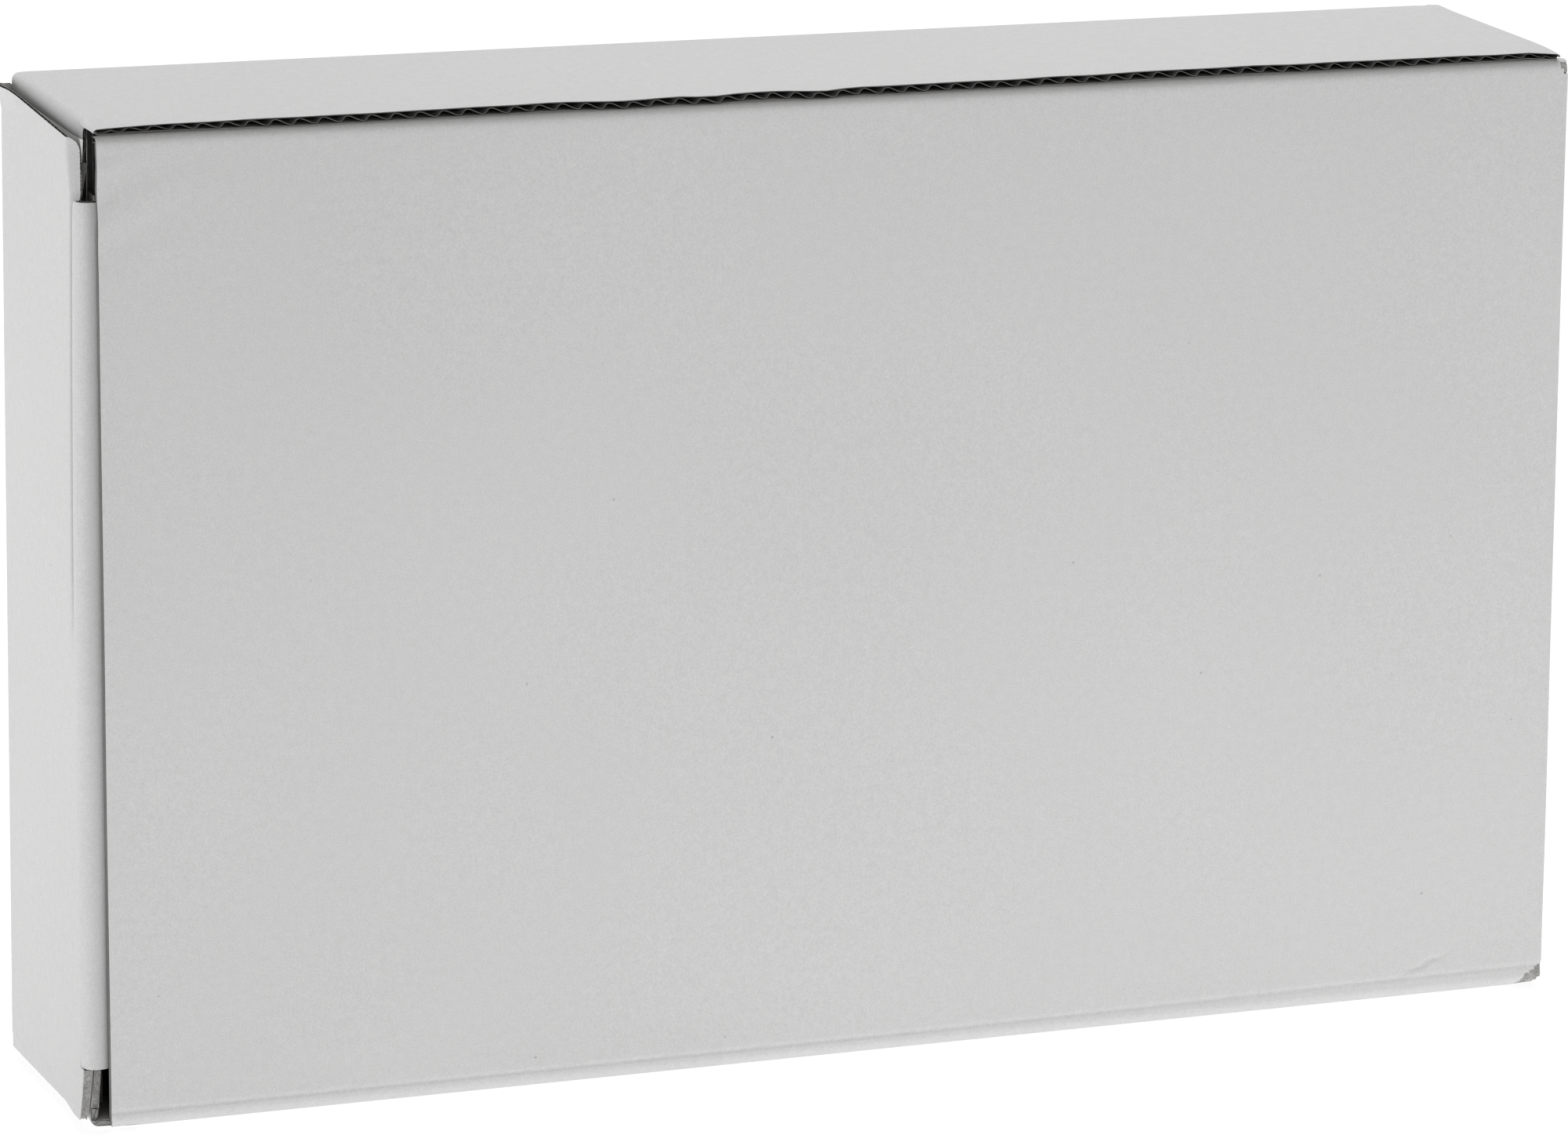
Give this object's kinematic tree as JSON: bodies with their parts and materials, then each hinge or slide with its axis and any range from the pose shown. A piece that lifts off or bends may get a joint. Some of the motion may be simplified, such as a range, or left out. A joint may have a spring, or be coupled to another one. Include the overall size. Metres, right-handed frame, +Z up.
{
  "type": "mailer box",
  "caption": "Plain white corrugated mailer box, shut and standing on its back wall, with a hinged lid, a tuck flap and rolled-over double side walls.",
  "frame": {"origin": "on the surface that the box stands on, under the middle of the whole box", "axes": "+X along the box's width, from its left side wall to its right; +Y from the lid to the floor panel; +Z up, from the back wall, which it stands on, to the front wall"},
  "size_m": [0.413, 0.076, 0.261],
  "materials": {
    "white_board": "matte white-lined corrugated board, raw fluted edges",
    "inner_board": "matte white-lined corrugated board, inner pieces",
    "creased_board": "white-lined corrugated board crushed and bent along a crease"
  },
  "bodies": {
    "base": {"floor_panel": "white_board", "front_wall": "white_board", "back_wall": "white_board", "left_outer_wall": "white_board", "right_outer_wall": "white_board", "left_rollover_strip": "white_board", "right_rollover_strip": "white_board", "left_inner_wall": "inner_board", "right_inner_wall": "inner_board", "front_left_corner_flap": "inner_board", "front_right_corner_flap": "inner_board", "back_left_corner_flap": "inner_board", "back_right_corner_flap": "inner_board", "front_left_flap_crease": "creased_board", "front_right_flap_crease": "creased_board", "back_left_flap_crease": "creased_board", "back_right_flap_crease": "creased_board", "floor_front_crease": "creased_board", "floor_back_crease": "creased_board", "floor_left_crease": "creased_board", "floor_right_crease": "creased_board", "lid_hinge_crease": "creased_board"},
    "lid": {"lid_panel": "white_board", "tuck_crease": "creased_board"},
    "tuck_flap": {"tuck_flap": "white_board"}
  },
  "joints": [
    {"name": "lid_hinge", "type": "hinge", "parent": "base", "child": "lid", "pos_m": [0, -0.03725, 0.00075], "axis": [1, 0, 0], "range_deg": [0, 90], "deforming": ["lid_hinge_crease"]},
    {"name": "tuck_flap_fold", "type": "hinge", "parent": "lid", "child": "tuck_flap", "pos_m": [0, -0.0345, 0.2547], "axis": [-1, 0, 0], "range_deg": [-5, 75], "deforming": ["tuck_crease"]}
  ]
}
